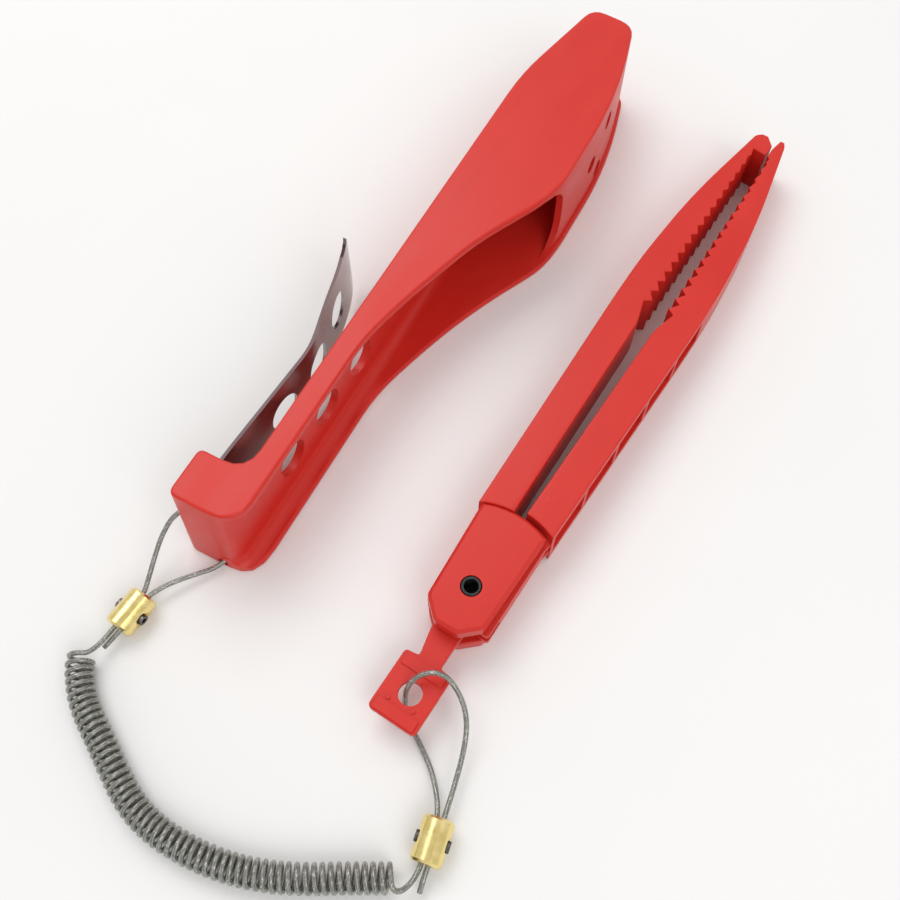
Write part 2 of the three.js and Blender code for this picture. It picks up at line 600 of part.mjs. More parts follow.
function leftArm() {
  const cheeks = cheekOutline();
  const wall = outline([
    [TAIL_LEFT_X, TAIL_CORNER_Y],
    [TAIL_LEFT_X + TAIL_WALL, TAIL_CORNER_Y],
    [-ARM_ROOT_X + TAIL_WALL, SHOULDER_RADIUS],
    [-ARM_ROOT_X + CHEEK_CHAMFER, SHOULDER_RADIUS],
  ]);
  const arm = join(
    roundedPrism(cheeks, 0, CHEEK, ARM_EDGE),
    prism(cheeks, PLIERS_HEIGHT - CHEEK, PLIERS_HEIGHT - CHEEK_CHAMFER),
    chamferedPrism(cheeks, PLIERS_HEIGHT - CHEEK, PLIERS_HEIGHT, CHEEK_CHAMFER),
    prism(wall, CHEEK - GAP, PLIERS_HEIGHT - CHEEK + GAP),
    roundedPrism(leftArmOutline(), 0, PLIERS_HEIGHT, ARM_EDGE),
  );
  return toGeometry(cut(
    arm,
    uprightBar(PIN_RADIUS + GAP, -OVERRUN, PLIERS_HEIGHT + OVERRUN, 0, 0),
    uprightBar(PIN_HEAD_RADIUS + GAP, -OVERRUN, PIN_HEAD_HEIGHT + GAP, 0, 0),
    uprightBar(SPRING_RADIUS + SPRING_WIRE_RADIUS + SPRING_ROOM, CHEEK - SPRING_RECESS_DEPTH, LEAF_LOW, 0, 0),
    ...recesses(-1),
  ));
}

function rightArm() {
  const leaf = outline([
    [-LEAF_EYE + 0.3, 1.5, 2],
    [0, -LEAF_EYE + 0.6],
    [LEAF_WALL_X, LEAF_END_Y, 1],
    [LEAF_EDGE_X, LEAF_END_Y, 1],
    [LEAF_EDGE_X, 20],
    [ARM_ROOT_X, SHOULDER_RADIUS],
    [2.2, SHOULDER_RADIUS + 2 * SHOULDER_GAP],
    [0.4, SHOULDER_RADIUS],
  ]);
  const leafPlate = (low) => [prism(leaf, low, low + LEAF), uprightBar(LEAF_EYE, low, low + LEAF, 0, 0)];
  const arm = join(
    roundedPrism(rightArmOutline(), 0, PLIERS_HEIGHT, ARM_EDGE),
    ...leafPlate(LEAF_LOW),
    ...leafPlate(LEAF_HIGH - LEAF),
    box([LEAF_WALL_X, LEAF_WALL_END_Y, LEAF_LOW], [LEAF_EDGE_X, SHOULDER_RADIUS, LEAF_HIGH]),
  );
  return toGeometry(cut(
    arm,
    uprightBar(PIN_RADIUS + GAP, -OVERRUN, PLIERS_HEIGHT + OVERRUN, 0, 0),
    ...recesses(1),
  ));
}

// Hollow pin, with a flange let into the bottom cheek.
function pivotPin() {
  const pin = join(
    uprightBar(PIN_RADIUS, 0, PLIERS_HEIGHT, 0, 0),
    uprightBar(PIN_HEAD_RADIUS, 0, PIN_HEAD_HEIGHT, 0, 0),
  );
  return toGeometry(cut(pin, uprightBar(PIN_BORE_RADIUS, -OVERRUN, PLIERS_HEIGHT + OVERRUN, 0, 0)));
}

// Torsion coil round the pin, in a recess of the bottom cheek.
function openingSpring() {
  const pointsPerTurn = 12;
  const count = Math.round(SPRING_TURNS * pointsPerTurn);
  const low = CHEEK - SPRING_RECESS_DEPTH + SPRING_WIRE_RADIUS + GAP / 2;
  const coil = Array.from({ length: count + 1 }, (_, k) => {
    const angle = (2 * Math.PI * k) / pointsPerTurn;
    const z = low + (SPRING_PITCH * k) / pointsPerTurn;
    return [SPRING_RADIUS * Math.cos(angle), SPRING_RADIUS * Math.sin(angle), z];
  });
  return alongRoute(coil, SPRING_WIRE_RADIUS, 1, 8);
}

// Sliding strap between the leaves, with a tab for the lanyard behind the pliers.
function lockStrap() {
  const [left, right] = TAB_X;
  const [rear, front] = TAB_Y;
  const slotHalf = PIN_RADIUS + GAP;
  const strap = outline([
    [left, rear, 1.6],
    [right, rear, 1.6],
    [right, front, 1],
    [4.2, STRAP_WAIST_Y, 1],
    [4.3, TAIL_END_Y, 4],
    [STRAP_HALF_WIDTH, -6, 4],
    [STRAP_HALF_WIDTH, STRAP_FRONT_Y, 3],
    [-STRAP_HALF_WIDTH, STRAP_FRONT_Y, 3],
    [-STRAP_HALF_WIDTH, -6, 4],
    [-4, TAIL_END_Y, 4],
    [-2.3, STRAP_WAIST_Y, 1],
    [left, front, 1],
  ]);
  const slot = outline([
    [-slotHalf, -slotHalf, slotHalf],
    [slotHalf, -slotHalf, slotHalf],
    [slotHalf, LOCK_TRAVEL + slotHalf, slotHalf],
    [-slotHalf, LOCK_TRAVEL + slotHalf, slotHalf],
  ]);
  const band = (y) => box([left + 1, y, STRAP_LOW], [right - 1, y + TAB_BAND, STRAP_HIGH + TAB_BAND_RISE]);
  const pip = ([x, y]) => uprightBar(TAB_PIP_RADIUS, STRAP_LOW, STRAP_HIGH + TAB_BAND_RISE, x, y, 12);
  return toGeometry(cut(
    join(
      roundedPrism(strap, STRAP_LOW, STRAP_HIGH, STRAP_EDGE),
      band(rear + TAB_BAND_RISE),
      band(front - TAB_BAND - TAB_BAND_RISE),
      ...TAB_PIPS.map(pip),
    ),
    prism(slot, STRAP_LOW - OVERRUN, STRAP_HIGH + OVERRUN),
    uprightBar(TAB_HOLE_RADIUS, STRAP_LOW - OVERRUN, STRAP_HIGH + OVERRUN, ...TAB_HOLE),
  ));
}

// ---- Lanyard -----------------------------------------------------------------------------

// Places a piece made along X and Y, with its centre at the origin, on a clamp's own axes.
function onClamp({ centre, along }, geometry) {
  const axis = new THREE.Vector3(...along).normalize();
  const up = new THREE.Vector3(0, 0, 1);
  const side = new THREE.Vector3().crossVectors(axis, up);
  const turn = new THREE.Matrix4().makeBasis(side, axis, up);
  return geometry.applyMatrix4(turn.setPosition(...centre));
}

// Brass barrel with chamfered ends, a bore for the two strands and a screw in each side.
function clampBarrel(clamp, route) {
  const half = CLAMP_LENGTH / 2;
  const profile = [
    [0, -half],
    [CLAMP_RADIUS - CLAMP_CHAMFER, -half],
    [CLAMP_RADIUS, -half + CLAMP_CHAMFER],
    [CLAMP_RADIUS, half - CLAMP_CHAMFER],
    [CLAMP_RADIUS - CLAMP_CHAMFER, half],
    [0, half],
  ].map((p) => new THREE.Vector2(...p));
  const barrel = onClamp(clamp, new THREE.LatheGeometry(profile, 32));
  const across = CLAMP_RADIUS + OVERRUN;
  const relief = CLAMP_RADIUS - RELIEF_DEPTH;
  return toGeometry(cut(
    toSolid(barrel),
    alongRoute(route, WIRE_RADIUS + GAP, WIRE_STEP, 12),
    onClamp(clamp, barAlongX(SET_SCREW_RADIUS + GAP / 2, -across, across, 0, 0)),
    onClamp(clamp, barAlongX(RELIEF_RADIUS, relief, across, 0, 0)),
    onClamp(clamp, barAlongX(RELIEF_RADIUS, -across, -relief, 0, 0)),
  ));
}

function setScrew(clamp, side) {
  const ends = [side * SET_SCREW_IN, side * SET_SCREW_OUT].sort((a, b) => a - b);
  const floor = side * (SET_SCREW_OUT - SOCKET_DEPTH);
  const mouth = side * (SET_SCREW_OUT + OVERRUN);
  const screw = join(onClamp(clamp, barAlongX(SET_SCREW_RADIUS, ...ends, 0, 0)));
  const socket = barAlongX(SOCKET_RADIUS, Math.min(floor, mouth), Math.max(floor, mouth), 0, 0, 6);
  return toGeometry(cut(screw, onClamp(clamp, socket)));
}

// ---- The whole -----------------------------------------------------------------------------

place(holster, 'holster_body', holsterBody(), redPlastic());
place(holster, 'belt_clip', beltClip(), steel());
CLIP_SCREWS_Z.forEach((z, index) => place(holster, `clip_screw_${index + 1}`, clipScrew(z), darkSteel()));
place(pliers, 'left_arm', leftArm(), redPlastic());
place(pliers, 'right_arm', rightArm(), redPlastic());
place(pliers, 'pivot_pin', pivotPin(), blackSteel());
place(pliers, 'opening_spring', openingSpring(), steel());
place(pliers, 'lock_strap', lockStrap(), redPlastic());
place(lanyard, 'holster_wire', alongRoute(HOLSTER_WIRE, WIRE_RADIUS, WIRE_STEP, 8), coatedWire());
place(lanyard, 'grip_wire', alongRoute(GRIP_WIRE, WIRE_RADIUS, WIRE_STEP, 8), coatedWire());
place(lanyard, 'lanyard_coil', alongRoute(COIL_ROUTE, COIL_RADIUS, COIL_STEP, 12), coatedWire());
place(lanyard, 'holster_clamp', clampBarrel(HOLSTER_CLAMP, HOLSTER_WIRE), brass());
place(lanyard, 'grip_clamp', clampBarrel(GRIP_CLAMP, GRIP_WIRE), brass());
[1, -1].forEach((side, index) => {
  place(lanyard, `holster_clamp_screw_${index + 1}`, setScrew(HOLSTER_CLAMP, side), darkSteel());
  place(lanyard, `grip_clamp_screw_${index + 1}`, setScrew(GRIP_CLAMP, side), darkSteel());
});

export default model;
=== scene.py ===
import json
import math

import bmesh
import bpy
import numpy as np
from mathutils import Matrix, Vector

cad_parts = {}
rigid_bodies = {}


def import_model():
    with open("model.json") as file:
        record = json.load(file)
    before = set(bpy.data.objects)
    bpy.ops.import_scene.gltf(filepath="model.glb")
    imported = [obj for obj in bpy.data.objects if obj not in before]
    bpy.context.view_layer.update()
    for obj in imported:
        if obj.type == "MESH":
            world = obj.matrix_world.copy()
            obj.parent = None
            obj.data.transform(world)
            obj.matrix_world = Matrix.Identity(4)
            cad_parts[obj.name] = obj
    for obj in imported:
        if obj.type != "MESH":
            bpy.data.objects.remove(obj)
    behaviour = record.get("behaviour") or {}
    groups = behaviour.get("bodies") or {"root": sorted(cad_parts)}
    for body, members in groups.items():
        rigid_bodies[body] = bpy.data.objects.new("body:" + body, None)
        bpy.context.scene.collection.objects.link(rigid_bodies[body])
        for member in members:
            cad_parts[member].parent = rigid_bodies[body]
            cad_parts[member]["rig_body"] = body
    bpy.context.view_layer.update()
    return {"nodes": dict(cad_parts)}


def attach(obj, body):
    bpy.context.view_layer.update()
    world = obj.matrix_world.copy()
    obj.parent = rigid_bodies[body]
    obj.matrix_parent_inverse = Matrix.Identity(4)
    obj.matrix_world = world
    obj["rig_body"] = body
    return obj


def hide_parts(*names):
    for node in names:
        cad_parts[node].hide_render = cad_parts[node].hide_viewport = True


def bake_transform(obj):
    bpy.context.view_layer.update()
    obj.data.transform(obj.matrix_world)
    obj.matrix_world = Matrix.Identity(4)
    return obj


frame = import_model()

# Fishing pliers, belt holster and coiled lanyard. Metres, in the frame of the CAD model.

MM = 0.001

# ---- Sizes ---------------------------------------------------------------------------------
WIRE_RADIUS = 0.7 * MM
COIL_MEAN_RADIUS = 3.15 * MM
COIL_TURNS = 55.125
COIL_START_ANGLE = 0.65 * math.pi  # where the first turn begins, from the coil's side towards its top
COIL_WANDER = (0.35, 0.25)  # unevenness of the turns, in radians: a slow wave and a quick one
COIL_WANDER_WAVES = (23.0, 61.0)  # how far each wave runs over the whole coil, in radians
COIL_WANDER_OFFSET = 1.0  # start of the quick wave, in radians
POINTS_PER_TURN = 20
WIRE_SIDES = 10
WIRE_SPACING = 0.4 * MM  # between rings where the wire isn't coiled
ROUTE_SPACING = 0.25 * MM  # between points of the coil's route
SAMPLES_PER_SPAN = 40  # on a spline between two of its points, before they are spaced evenly
LEAD_SAMPLES = 200  # on the curve into or out of the coil, before they are spaced evenly
LEAD_IN_PULL = (10 * MM, 7 * MM)  # how long the wire keeps its direction at each end of that curve
LEAD_OUT_PULL = (12 * MM, 18 * MM)
METAL_EDGE = 0.12 * MM  # rounding of the pin's edges
MERGE_DISTANCE = 0.004 * MM  # CAD corners nearer to each other than this become one
SHARP_ANGLE = 38  # degrees; a larger angle between two faces stays a sharp edge
SPRING_SHARP_ANGLE = 60
FLAT_WEIGHT = 100  # how strongly large flat faces rule the shading beside them

# ---- Camera, light and floor: metres, degrees and watts --------------------------------------
SENSOR_WIDTH = 36  # millimetres, as is the lens
LENS = 38.8
CLIP_START = 0.01
CLIP_END = 20
CAMERA_AT = (0.0798, -0.1473, 0.257)
CAMERA_TILT = 26.8  # from looking straight down
CAMERA_TURN = 33.13  # about the upright axis
SKY_COLOUR = (1.0, 0.985, 0.97, 1)
SKY_STRENGTH = 0.7
KEY_LIGHT = {"place": (-0.7, 0.35, 1.25), "size": (1.1, 0.8), "power": 8}
FILL_LIGHT = {"place": (0.9, -0.5, 1.0), "size": (0.9, 0.9), "power": 5}
FLOOR_HALF_WIDTH = 3.0

# ---- Pattern of the wire ---------------------------------------------------------------------
STRANDS = 6
STRAND_TWIST = 150  # turns in a metre
FILAMENT_TWIST = -900  # the fine wires wind the other way

# ---- Routes of the lanyard, in millimetres -------------------------------------------------
HOLSTER_WIRE = [
    (-35.4, -139.4, 2.6), (-34.7, -136.3, 3.6), (-34.3, -133.7, 4.2), (-34.2, -128.1, 4.2),
    (-34.1, -122.6, 4.2), (-32.9, -118.5, 3.9), (-30.7, -114.1, 3.2), (-27.5, -109.2, 2.4),
    (-25.1, -105.5, 2.1), (-24.1, -102.2, 2.6), (-25.7, -98.7, 4.4), (-29.7, -96.1, 7.4),
    (-33.8, -95.9, 10.6), (-37.6, -97.8, 12.9), (-39.6, -102, 12.6), (-40, -107.1, 10.2),
    (-39.1, -112.6, 7.2), (-37.4, -118.1, 5), (-35.9, -122.6, 4.2), (-36, -128.1, 4.2),
    (-36.1, -133.6, 4.2),
]
GRIP_WIRE = [
    (68.2, -142.9, 2.4), (67.4, -140, 3.6), (66.8, -137.2, 4.2), (65.5, -131.5, 4.2),
    (64.1, -125.9, 4.2), (61.8, -117.4, 3.6), (59.5, -110.1, 4.6), (57.1, -104.9, 6.6),
    (54.3, -101.6, 9.2), (50.7, -99.4, 11.6), (47, -98.4, 13.2), (43.8, -99.1, 13.6),
    (41.3, -101, 12.8), (39.8, -103.5, 11.2), (39.5, -105.7, 9), (40, -107.3, 6.4),
    (41.3, -109.2, 3.6), (43.9, -111.3, 1.9), (48.6, -113.9, 1.3), (54.5, -117.6, 1.6),
    (59.4, -122.2, 3.2), (62.3, -126.4, 4.2), (63.7, -132, 4.2), (65, -137.4, 4),
]
COIL_ROUTE = [
    (-38.2, -144.2, 4), (-36.6, -146.8, 4), (-30.3, -152.4, 4), (-24.6, -155.5, 4),
    (-19.4, -157.8, 4), (-12.1, -161.2, 4), (-5.6, -164, 4), (0.2, -165.7, 4),
    (7.7, -166.4, 4), (14.1, -166, 4), (20.5, -165, 4), (28.8, -162.7, 4),
    (36.7, -159.3, 4), (44.2, -155, 4), (51.3, -150.2, 4), (61, -143.9, 4),
]


# ---- Camera --------------------------------------------------------------------------------

def add_camera():
    data = bpy.data.cameras.new("camera")
    data.sensor_width = SENSOR_WIDTH
    data.lens = LENS
    data.clip_start = CLIP_START
    data.clip_end = CLIP_END
    camera = bpy.data.objects.new("camera", data)
    camera.location = CAMERA_AT
    camera.rotation_euler = (math.radians(CAMERA_TILT), 0, math.radians(CAMERA_TURN))
    bpy.context.scene.collection.objects.link(camera)
    bpy.context.scene.camera = camera


# ---- Node helpers --------------------------------------------------------------------------

class Nodes:
    """A short way to write a material's node tree."""

    def __init__(self, name):
        self.material = bpy.data.materials.new(name)
        self.material.use_nodes = True
        self.tree = self.material.node_tree
        self.shader = self.tree.nodes["Principled BSDF"]

    def add(self, kind, inputs=None, **settings):
        node = self.tree.nodes.new("ShaderNode" + kind)
        for key, value in settings.items():
            setattr(node, key, value)
        for key, value in (inputs or {}).items():
            self.feed(node.inputs[key], value)
        return node

    def feed(self, socket, value):
        if isinstance(value, bpy.types.NodeSocket):
            self.tree.links.new(value, socket)
        else:
            socket.default_value = value

    def position(self):
        return self.add("TexCoord").outputs["Object"]

    def stretched(self, vector, scale):
        return self.add("Mapping", {"Vector": vector, "Scale": scale}).outputs["Vector"]

    def noise(self, vector, scale, detail=2.0, roughness=0.5):
        inputs = {"Vector": vector, "Scale": scale, "Detail": detail, "Roughness": roughness}
        return self.add("TexNoise", inputs).outputs["Fac"]

    def specks(self, vector, scale, size):
        """1 inside small dots scattered over the surface, 0 elsewhere."""
        distance = self.add("TexVoronoi", {"Vector": vector, "Scale": scale}).outputs["Distance"]
        return self.ramp(distance, size, 1.0, size * 0.5, 0.0, flip=True)

    def ramp(self, value, high, high_out, low, low_out, flip=False):
        """Maps value from low..high to low_out..high_out, smoothly and clamped."""
        first, last = (high_out, low_out) if flip else (low_out, high_out)
        inputs = {0: value, 1: low, 2: high, 3: first, 4: last}
        return self.add("MapRange", inputs, interpolation_type="SMOOTHSTEP").outputs[0]

    def math(self, operation, first, second=0.0):
        return self.add("Math", {0: first, 1: second}, operation=operation).outputs[0]

    def blend(self, factor, first, second):
        node = self.add("Mix", data_type="RGBA")
        self.feed(node.inputs[0], factor)
        self.feed(node.inputs[6], first)
        self.feed(node.inputs[7], second)
        return node.outputs[2]

    def bump(self, height, distance, strength=1.0, below=None):
        node = self.add("Bump", {"Height": height, "Distance": distance, "Strength": strength})
        if below is not None:
            self.feed(node.inputs["Normal"], below)
        return node.outputs["Normal"]

    def set(self, **values):
        for key, value in values.items():
            self.feed(self.shader.inputs[key.replace("_", " ")], value)
        return self.material


# ---- Materials -----------------------------------------------------------------------------

def red_plastic():
    """Semi-gloss moulded plastic: faint flow marks, fine grain, a few pale specks and scuffs."""
    n = Nodes("red_plastic")
    place = n.position()
    flow = n.noise(n.stretched(place, (1, 0.35, 1)), 90, 3)
    grain = n.noise(place, 2600, 2)
    scuff = n.noise(n.stretched(place, (1.0, 0.12, 1.0)), 1500, 4, 0.65)
    scuffed = n.ramp(scuff, 0.74, 1.0, 0.66, 0.0)
    speck = n.specks(place, 620, 0.07)
    deep = (0.57, 0.02, 0.013, 1)
    light = (0.66, 0.03, 0.02, 1)
    pale = (0.86, 0.22, 0.18, 1)
    colour = n.blend(flow, deep, light)
    scuffs_and_specks = n.math("ADD", n.math("MULTIPLY", scuffed, 0.35), n.math("MULTIPLY", speck, 0.5))
    colour = n.blend(n.math("MULTIPLY", scuffs_and_specks, 0.6), colour, pale)
    rough = n.math("ADD", n.ramp(flow, 0.7, 0.4, 0.3, 0.3), n.math("MULTIPLY", scuffed, 0.16))
    normal = n.bump(flow, 0.00012, 0.35)
    normal = n.bump(grain, 0.00002, 0.5, normal)
    normal = n.bump(scuffed, 0.00003, 0.4, normal)
    return n.set(Base_Color=colour, Roughness=rough, Normal=normal, Specular_IOR_Level=0.34)


def clip_steel():
    """Polished stainless strip with fine lines along it and finger smears, with painted shade, near black,
    where it faces up.
    """
    n = Nodes("clip_steel")
    place = n.position()
    lines = n.noise(n.stretched(place, (1, 0.02, 1)), 3200, 3)
    smear = n.noise(place, 60, 3)
    colour = n.blend(smear, (0.3, 0.262, 0.252, 1), (0.4, 0.36, 0.345, 1))
    # Painted shade: faces turned upwards are coloured near black, chosen by the direction of the surface.
    up = n.add("SeparateXYZ", {0: n.add("NewGeometry").outputs["Normal"]}).outputs[2]
    colour = n.blend(n.ramp(up, 0.9, 1.0, 0.6, 0.0), colour, (0.07, 0.05, 0.05, 1))
    rough = n.math("ADD", n.ramp(smear, 0.7, 0.24, 0.3, 0.1), n.math("MULTIPLY", lines, 0.08))
    return n.set(Base_Color=colour, Metallic=1.0, Roughness=rough, Normal=n.bump(lines, 0.00001, 0.4))


def brass():
    """Turned brass: rings left by the tool, warm and bright, a little darker in places."""
    n = Nodes("clamp_brass")
    place = n.position()
    rings = n.noise(n.stretched(place, (0.05, 1, 0.05)), 5200, 2)
    tarnish = n.noise(place, 420, 3)
    colour = n.blend(tarnish, (0.78, 0.57, 0.17, 1), (0.97, 0.84, 0.42, 1))
    rough = n.ramp(tarnish, 0.7, 0.3, 0.3, 0.16)
    return n.set(Base_Color=colour, Metallic=1.0, Roughness=rough, Normal=n.bump(rings, 0.00002, 0.5))


def dark_steel(name="screw_steel", base=(0.13, 0.125, 0.12), rough=0.3):
    """Dark steel with fine grain."""
    n = Nodes(name)
    place = n.position()
    grain = n.noise(place, 2400, 3)
    worn = n.noise(place, 700, 2)
    bare = tuple(min(channel * 2.6, 1) for channel in base)
    colour = n.blend(n.ramp(worn, 0.75, 1.0, 0.5, 0.0), (*base, 1), (*bare, 1))
    roughness = n.ramp(grain, 0.8, rough + 0.12, 0.2, rough - 0.08)
    return n.set(Base_Color=colour, Metallic=1.0, Roughness=roughness, Normal=n.bump(grain, 0.00001, 0.5))


def black_steel():
    """Glossy black finish of the hollow pin."""
    n = Nodes("black_steel")
    place = n.position()
    grain = n.noise(place, 1800, 3)
    colour = n.blend(grain, (0.012, 0.013, 0.014, 1), (0.035, 0.038, 0.04, 1))
    rough = n.ramp(grain, 0.7, 0.3, 0.3, 0.16)
    return n.set(Base_Color=colour, Metallic=0.3, Roughness=rough, Normal=n.bump(grain, 0.00001, 0.4))


def twisted_strands(n, along, around, twist):
    """Strands wound round the wire: 1 on their crests, 0 between them."""
    lengthwise = n.math("MULTIPLY", along, 2 * math.pi * twist)
    crosswise = n.math("MULTIPLY", around, 2 * math.pi * STRANDS)
    return n.ramp(n.math("SINE", n.math("ADD", lengthwise, crosswise)), 0.9, 1.0, -0.9, 0.0)


def coated_wire():
    """Twisted steel strands under a clear coat, with painted shade between the strands and painted glints
    on them. The pattern follows the wire: U along it, V round it.
    """
    n = Nodes("coated_wire")
    uv = n.add("SeparateXYZ", {0: n.add("UVMap", uv_map="along_wire").outputs[0]})
    along, around = uv.outputs[0], uv.outputs[1]
    strands = twisted_strands(n, along, around, STRAND_TWIST)
    filaments = twisted_strands(n, along, around, FILAMENT_TWIST)
    # Painted highlight: small near-white glints on the crests of the fine wires, put into the colour.
    glint = n.ramp(n.noise(n.position(), 1500, 2), 0.66, 1.0, 0.5, 0.0)
    dark = (0.14, 0.142, 0.122, 1)
    mid = (0.27, 0.273, 0.243, 1)
    bright = (0.72, 0.72, 0.68, 1)
    # The strands' pattern is real; the darker colour between them is painted shade in the grooves.
    colour = n.blend(strands, dark, mid)
    colour = n.blend(n.math("MULTIPLY", n.math("MULTIPLY", glint, filaments), 0.6), colour, bright)
    normal = n.bump(strands, 0.00006, 0.5)
    normal = n.bump(filaments, 0.00004, 0.5, normal)
    rough = n.ramp(strands, 1.0, 0.26, 0.0, 0.42)
    return n.set(
        Base_Color=colour, Metallic=0.45, Roughness=rough, Normal=normal,
        Coat_Weight=0.7, Coat_Roughness=0.08,
    )


def floor_white():
    """Matt white sheet with the faintest mottling."""
    n = Nodes("floor_white")
    place = n.position()
    mottle = n.noise(place, 9, 3)
    colour = n.blend(mottle, (0.83, 0.83, 0.825, 1), (0.87, 0.87, 0.865, 1))
    return n.set(Base_Color=colour, Roughness=0.75, Normal=n.bump(n.noise(place, 500, 2), 0.00002, 0.3))


# ---- Meshes --------------------------------------------------------------------------------

def show(name, mesh, material, body, slot, *nodes):
    """Adds a finished mesh. It moves with the CAD body, if one is named, and replaces the CAD nodes."""
    piece = bpy.data.objects.new(name, mesh)
    bpy.context.scene.collection.objects.link(piece)
    mesh.materials.clear()
    mesh.materials.append(material)
    if body:
        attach(piece, body)
    if nodes:
        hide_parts(*nodes)
    return piece


def smooth_copy(node, material, slot, sharp=SHARP_ANGLE, bevel=0.0):
    """A copy of a CAD node with shared corners, smooth over rounded edges and flat on flat faces."""
    source = frame["nodes"][node]
    work = bmesh.new()
    work.from_mesh(source.data)
    bmesh.ops.remove_doubles(work, verts=work.verts, dist=MERGE_DISTANCE)
    work.verts.index_update()
    corners = [vertex.co[:] for vertex in work.verts]
    faces = [[vertex.index for vertex in face.verts] for face in work.faces]
    work.free()
    mesh = bpy.data.meshes.new(node + "_finished")
    mesh.from_pydata(corners, [], faces)
    mesh.shade_smooth()
    mesh.set_sharp_from_angle(angle=math.radians(sharp))
    piece = show(node + "_finished", mesh, material, source["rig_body"], slot, node)
    if bevel:
        edges = piece.modifiers.new("edges", "BEVEL")
        edges.width = bevel
        edges.segments = 2
        edges.limit_method = "ANGLE"
        edges.angle_limit = math.radians(sharp)
    normals = piece.modifiers.new("flats", "WEIGHTED_NORMAL")
    normals.mode = "FACE_AREA"
    normals.weight = FLAT_WEIGHT
    normals.keep_sharp = True
    return piece


def spline(points, spacing):
    """A centripetal Catmull-Rom curve through points, sampled at even distances."""
    p = np.asarray(points, float)
    p = np.vstack([2 * p[0] - p[1], p, 2 * p[-1] - p[-2]])
    knots = np.concatenate([[0], np.cumsum(np.linalg.norm(np.diff(p, axis=0), axis=1) ** 0.5)])
    spans = [
        np.linspace(knots[k], knots[k + 1], SAMPLES_PER_SPAN, endpoint=False) for k in range(1, len(p) - 2)
    ]
    t = np.append(np.concatenate(spans), knots[-2])
    k = np.clip(np.searchsorted(knots, t, side="right") - 1, 1, len(p) - 3)

    def lerp(a, b, i, j):
        share = ((t - knots[k + i]) / (knots[k + j] - knots[k + i]))[:, None]
        return a * (1 - share) + b * share

    a1, a2, a3 = (lerp(p[k + i], p[k + i + 1], i, i + 1) for i in (-1, 0, 1))
    b1, b2 = lerp(a1, a2, -1, 1), lerp(a2, a3, 0, 2)
    curve = lerp(b1, b2, 0, 1)
    return evenly(curve, spacing)


def evenly(curve, spacing):
    """The same line with its points at even distances."""
    distance = np.concatenate([[0], np.cumsum(np.linalg.norm(np.diff(curve, axis=0), axis=1))])
    steps = max(int(round(distance[-1] / spacing)), 2)
    wanted = np.linspace(0, distance[-1], steps + 1)
    return np.stack([np.interp(wanted, distance, curve[:, axis]) for axis in range(3)], axis=1)


def unit(vectors):
    return vectors / np.linalg.norm(vectors, axis=-1, keepdims=True)


def coil_helix():
    """Centreline of the coiled wire: a circle of the mean radius carried along the coil's route.

    Point = route(s) + radius * (cos(turn) * side + sin(turn) * up), where turn falls as s grows."""
    steps = round(COIL_TURNS * POINTS_PER_TURN)
    route = spline(np.array(COIL_ROUTE) * MM, ROUTE_SPACING)
    share = np.linspace(0, 1, steps + 1)
    at = np.linspace(0, 1, len(route))
    centre = np.stack([np.interp(share, at, route[:, axis]) for axis in range(3)], axis=1)
    along = unit(np.gradient(centre, axis=0))
    up = np.array([0.0, 0.0, 1.0])
    side = unit(np.cross(along, up))
    wander = COIL_WANDER[0] * np.sin(share * COIL_WANDER_WAVES[0])
    wander += COIL_WANDER[1] * np.sin(share * COIL_WANDER_WAVES[1] + COIL_WANDER_OFFSET)
    wander *= np.sqrt(np.sin(math.pi * share).clip(0))  # none at both ends
    turn = (COIL_START_ANGLE - 2 * math.pi * COIL_TURNS * share + wander)[:, None]
    return centre + COIL_MEAN_RADIUS * (np.cos(turn) * side + np.sin(turn) * up)


def ring_frames(centres):
    """Two directions across the line at each point, turned as little as they can be from ring to ring."""
    along = unit(np.gradient(centres, axis=0))
    first = np.empty_like(along)
    first[0] = unit(np.cross(along[0], [0.3, 0.1, 1.0]))
    for i in range(len(along) - 1):
        carried = first[i] - np.dot(first[i], along[i + 1]) * along[i + 1]
        first[i + 1] = carried / np.linalg.norm(carried)
    return first, np.cross(along, first)


def tube_mesh(name, centres, radius, sides):
    """A round wire along centres: point = centre + radius * (cos(v) * first + sin(v) * second).

    U runs along the wire in metres and V once round it. Both ends are closed."""
    first, second = ring_frames(centres)
    v = np.linspace(0, 2 * math.pi, sides, endpoint=False)
    ring = np.cos(v)[None, :, None] * first[:, None] + np.sin(v)[None, :, None] * second[:, None]
    points = (centres[:, None] + radius * ring).reshape(-1, 3)
    rings = len(centres)
    i, j = np.meshgrid(np.arange(rings - 1), np.arange(sides), indexing="ij")
    near, far = i * sides, (i + 1) * sides
    following = (j + 1) % sides
    quads = np.stack([near + j, near + following, far + following, far + j], axis=-1).reshape(-1, 4)
    ends = [list(range(sides))[::-1], list(range((rings - 1) * sides, rings * sides))]
    mesh = bpy.data.meshes.new(name)
    mesh.from_pydata(points.tolist(), [], quads.tolist() + ends)
    distance = np.concatenate([[0], np.cumsum(np.linalg.norm(np.diff(centres, axis=0), axis=1))])
    u = np.stack([distance[i], distance[i], distance[i + 1], distance[i + 1]], axis=-1)
    round_wire = np.stack([j, j + 1, j + 1, j], axis=-1) / sides
    sheet = np.stack([u, round_wire], axis=-1).reshape(-1, 2)
    caps = np.zeros((2 * sides, 2))
    layer = mesh.uv_layers.new(name="along_wire")
    layer.data.foreach_set("uv", np.vstack([sheet, caps]).ravel())
    mesh.polygons.foreach_set("use_smooth", np.append(np.ones(len(quads), bool), [False, False]))
    return mesh


# ---- Lanyard -------------------------------------------------------------------------------

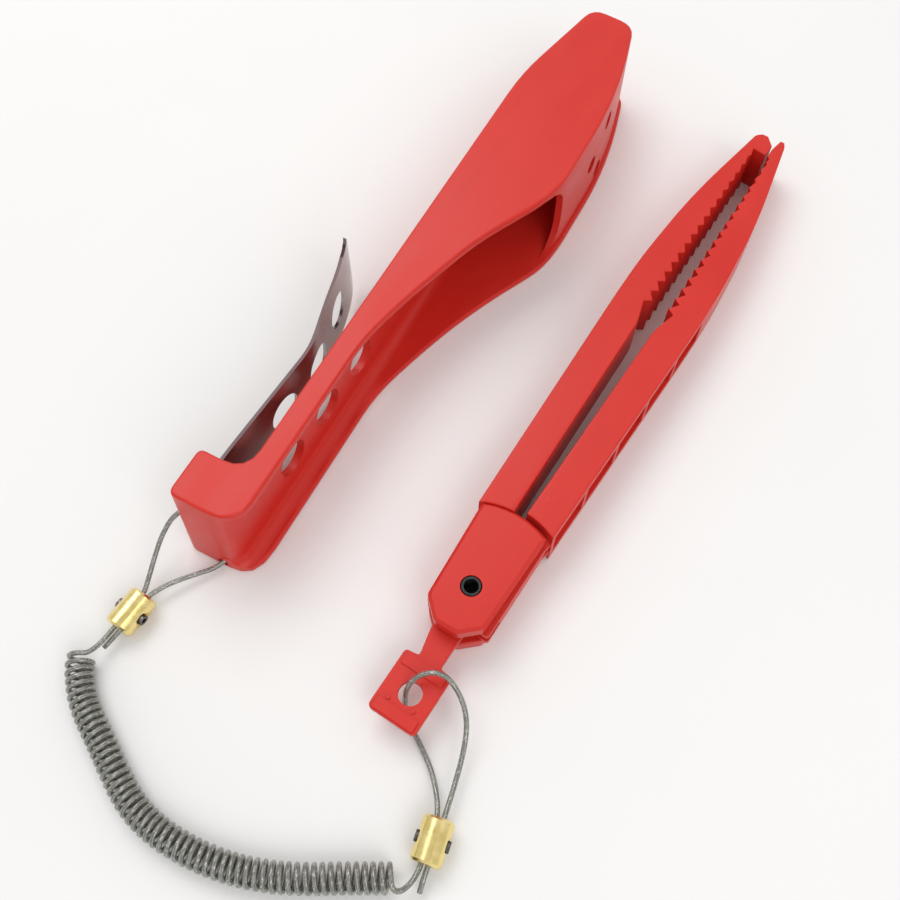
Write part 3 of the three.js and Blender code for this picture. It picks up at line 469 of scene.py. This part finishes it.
def lead(start, start_way, end, end_way, pull):
    """A smooth curve between two points with a given direction at each: a cubic Hermite curve.

    Point = (2t^3 - 3t^2 + 1) start + (t^3 - 2t^2 + t) pull_0 start_way
    + (3t^2 - 2t^3) end + (t^3 - t^2) pull_1 end_way."""
    t = np.linspace(0, 1, LEAD_SAMPLES)[:, None]
    curve = (2 * t**3 - 3 * t**2 + 1) * start + (3 * t**2 - 2 * t**3) * end
    leaving = (t**3 - 2 * t**2 + t) * pull[0] * unit(start_way)
    arriving = (t**3 - t**2) * pull[1] * unit(end_way)
    curve += leaving + arriving
    return evenly(curve, WIRE_SPACING)


def add_lanyard(material):
    """One wire from end to end: loop at the holster, coil, loop at the pliers."""
    helix = coil_helix()
    loop_in = spline(np.array(HOLSTER_WIRE) * MM, WIRE_SPACING)
    loop_out = spline(np.array(GRIP_WIRE)[::-1] * MM, WIRE_SPACING)
    loop_in_way, loop_out_way = loop_in[-1] - loop_in[-2], loop_out[1] - loop_out[0]
    helix_way_in, helix_way_out = helix[1] - helix[0], helix[-1] - helix[-2]
    lead_in = lead(loop_in[-1], loop_in_way, helix[0], helix_way_in, LEAD_IN_PULL)
    lead_out = lead(helix[-1], helix_way_out, loop_out[0], loop_out_way, LEAD_OUT_PULL)
    before = np.vstack([loop_in[:-1], lead_in[:-1]])
    after = np.vstack([lead_out[1:], loop_out[1:]])
    centres = np.vstack([before, helix, after])
    mesh = tube_mesh("lanyard", centres, WIRE_RADIUS, WIRE_SIDES)
    wire = show("lanyard", mesh, material, None, "coated_wire")
    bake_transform(wire)
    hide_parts("holster_wire", "lanyard_coil", "grip_wire")


# ---- Light and floor -----------------------------------------------------------------------

def add_area(name, place, size, power):
    """A rectangular lamp that shines at the origin."""
    data = bpy.data.lights.new(name, "AREA")
    data.shape = "RECTANGLE"
    data.size, data.size_y = size
    data.energy = power
    lamp = bpy.data.objects.new(name, data)
    lamp.location = place
    lamp.rotation_euler = (-Vector(place)).to_track_quat("-Z", "Y").to_euler()
    bpy.context.scene.collection.objects.link(lamp)


def add_studio():
    world = bpy.data.worlds.new("studio")
    bpy.context.scene.world = world
    world.use_nodes = True
    background = world.node_tree.nodes["Background"]
    background.inputs["Color"].default_value = SKY_COLOUR
    background.inputs["Strength"].default_value = SKY_STRENGTH
    add_area("key", **KEY_LIGHT)
    add_area("fill", **FILL_LIGHT)
    half = FLOOR_HALF_WIDTH
    corners = [(-half, -half, 0), (half, -half, 0), (half, half, 0), (-half, half, 0)]
    mesh = bpy.data.meshes.new("floor")
    mesh.from_pydata(corners, [], [(0, 1, 2, 3)])
    mesh.materials.append(floor_white())
    floor = bpy.data.objects.new("floor", mesh)
    bpy.context.scene.collection.objects.link(floor)
    bpy.context.scene.view_settings.view_transform = "Standard"


# ---- The whole -----------------------------------------------------------------------------

def assemble():
    add_camera()
    screw = dark_steel()
    clamp = brass()
    for node in frame["nodes"]:
        if "clamp_screw" in node:
            smooth_copy(node, screw, "screw_steel")
        elif "clamp" in node:
            smooth_copy(node, clamp, "clamp_brass")
    add_lanyard(coated_wire())
    red = red_plastic()
    steel = clip_steel()
    for node in ("holster_body", "left_arm", "right_arm", "lock_strap"):
        smooth_copy(node, red, "red_plastic")
    smooth_copy("belt_clip", steel, "clip_steel")
    smooth_copy("pivot_pin", black_steel(), "black_steel", bevel=METAL_EDGE)
    for node in ("clip_screw_1", "clip_screw_2"):
        smooth_copy(node, screw, "screw_steel")
    spring = dark_steel("spring_steel", (0.32, 0.32, 0.33), 0.28)
    smooth_copy("opening_spring", spring, "spring_steel", sharp=SPRING_SHARP_ANGLE)
    add_studio()


assemble()
